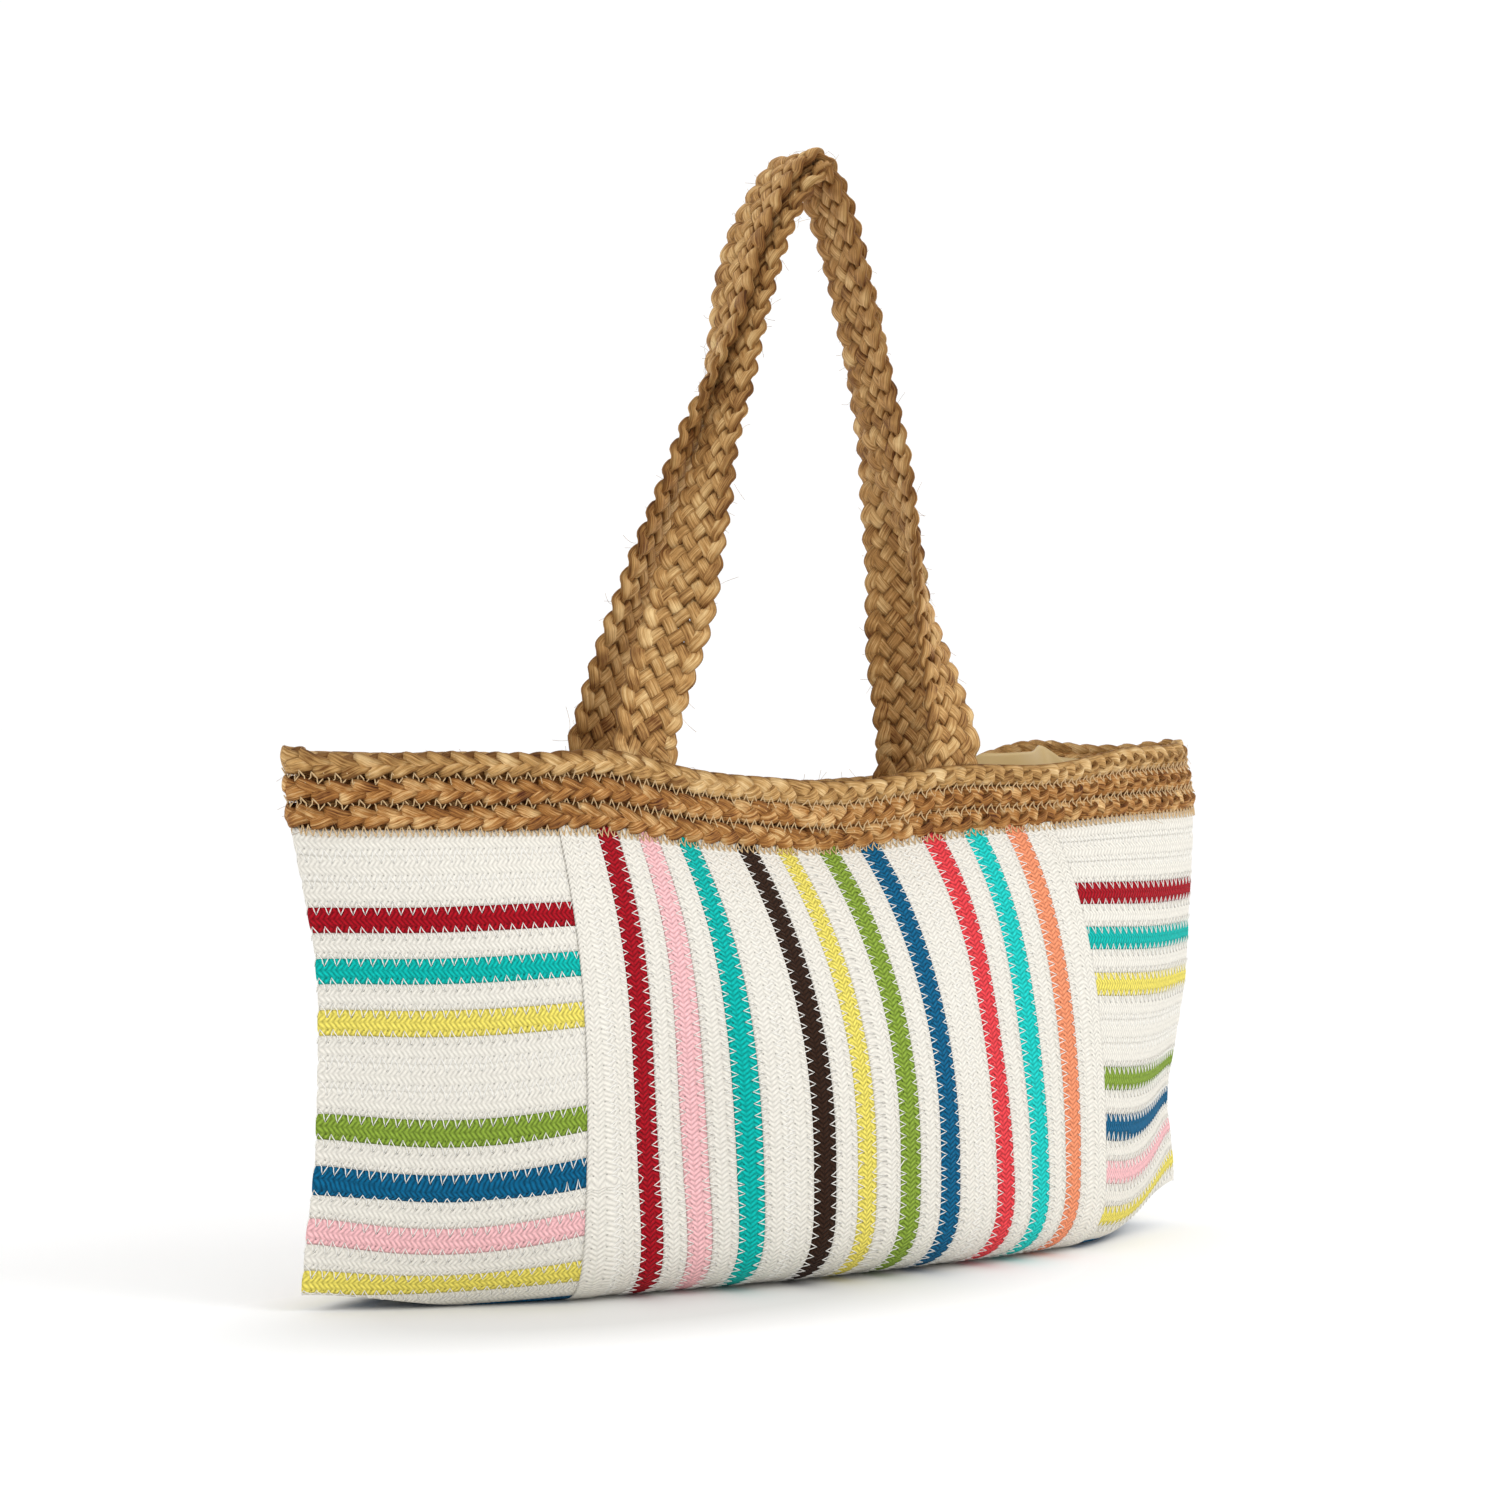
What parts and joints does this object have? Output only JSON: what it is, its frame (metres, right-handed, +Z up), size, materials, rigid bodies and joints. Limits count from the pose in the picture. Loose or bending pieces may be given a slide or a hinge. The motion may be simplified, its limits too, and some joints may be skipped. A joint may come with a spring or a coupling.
{
  "type": "beach bag",
  "caption": "Long soft beach bag of striped braided cotton tapes with a plaited jute band round the mouth, a satin lining and two long jute shoulder handles.",
  "frame": {"origin": "middle of the bag's base, on the surface that it stands on, halfway between the ends and between front and back", "axes": "+X along the bag, to the right as seen from the front; front at -Y, back at +Y; +Z up"},
  "size_m": [0.5574, 0.1766, 0.558],
  "materials": {
    "white_cotton": "braided cotton tape, matte",
    "dark_red_cotton": "braided cotton tape, matte",
    "teal_cotton": "braided cotton tape, matte",
    "yellow_cotton": "braided cotton tape, matte",
    "green_cotton": "braided cotton tape, matte",
    "blue_cotton": "braided cotton tape, matte",
    "pink_cotton": "braided cotton tape, matte",
    "brown_cotton": "braided cotton tape, matte",
    "coral_cotton": "braided cotton tape, matte",
    "orange_cotton": "braided cotton tape, matte",
    "jute_braid": "plaited jute, fibrous",
    "khaki_satin": "satin weave, soft sheen",
    "white_thread": "zigzag sewing thread",
    "jute_thread": "zigzag sewing thread"
  },
  "bodies": {
    "bag": {"centre_panel": "white_cotton", "centre_tape_dark_red": "dark_red_cotton", "centre_tape_pink": "pink_cotton", "centre_tape_teal": "teal_cotton", "centre_tape_brown": "brown_cotton", "centre_tape_yellow": "yellow_cotton", "centre_tape_green": "green_cotton", "centre_tape_blue": "blue_cotton", "centre_tape_coral": "coral_cotton", "centre_tape_light_teal": "teal_cotton", "centre_tape_orange": "orange_cotton", "left_side_panel": "white_cotton", "left_side_tape_dark_red": "dark_red_cotton", "left_side_tape_teal": "teal_cotton", "left_side_tape_yellow": "yellow_cotton", "left_side_tape_green": "green_cotton", "left_side_tape_blue": "blue_cotton", "left_side_tape_pink": "pink_cotton", "left_side_tape_low_yellow": "yellow_cotton", "right_side_panel": "white_cotton", "right_side_tape_dark_red": "dark_red_cotton", "right_side_tape_teal": "teal_cotton", "right_side_tape_yellow": "yellow_cotton", "right_side_tape_green": "green_cotton", "right_side_tape_blue": "blue_cotton", "right_side_tape_pink": "pink_cotton", "right_side_tape_low_yellow": "yellow_cotton", "rim_braid_top": "jute_braid", "rim_braid_middle": "jute_braid", "rim_braid_lower": "jute_braid", "lining": "khaki_satin", "front_handle_left_end": "jute_braid", "front_handle_right_end": "jute_braid", "back_handle_left_end": "jute_braid", "back_handle_right_end": "jute_braid"},
    "front_handle": {"front_handle": "jute_braid"},
    "back_handle": {"back_handle": "jute_braid"}
  },
  "joints": [
    {"name": "front_handle_swing", "type": "hinge", "parent": "bag", "child": "front_handle", "pos_m": [0, -0.0215, 0.2558], "axis": [1, 0, 0], "range_deg": [0, 88]},
    {"name": "back_handle_swing", "type": "hinge", "parent": "bag", "child": "back_handle", "pos_m": [0, 0.0215, 0.2558], "axis": [-1, 0, 0], "range_deg": [0, 88]}
  ]
}
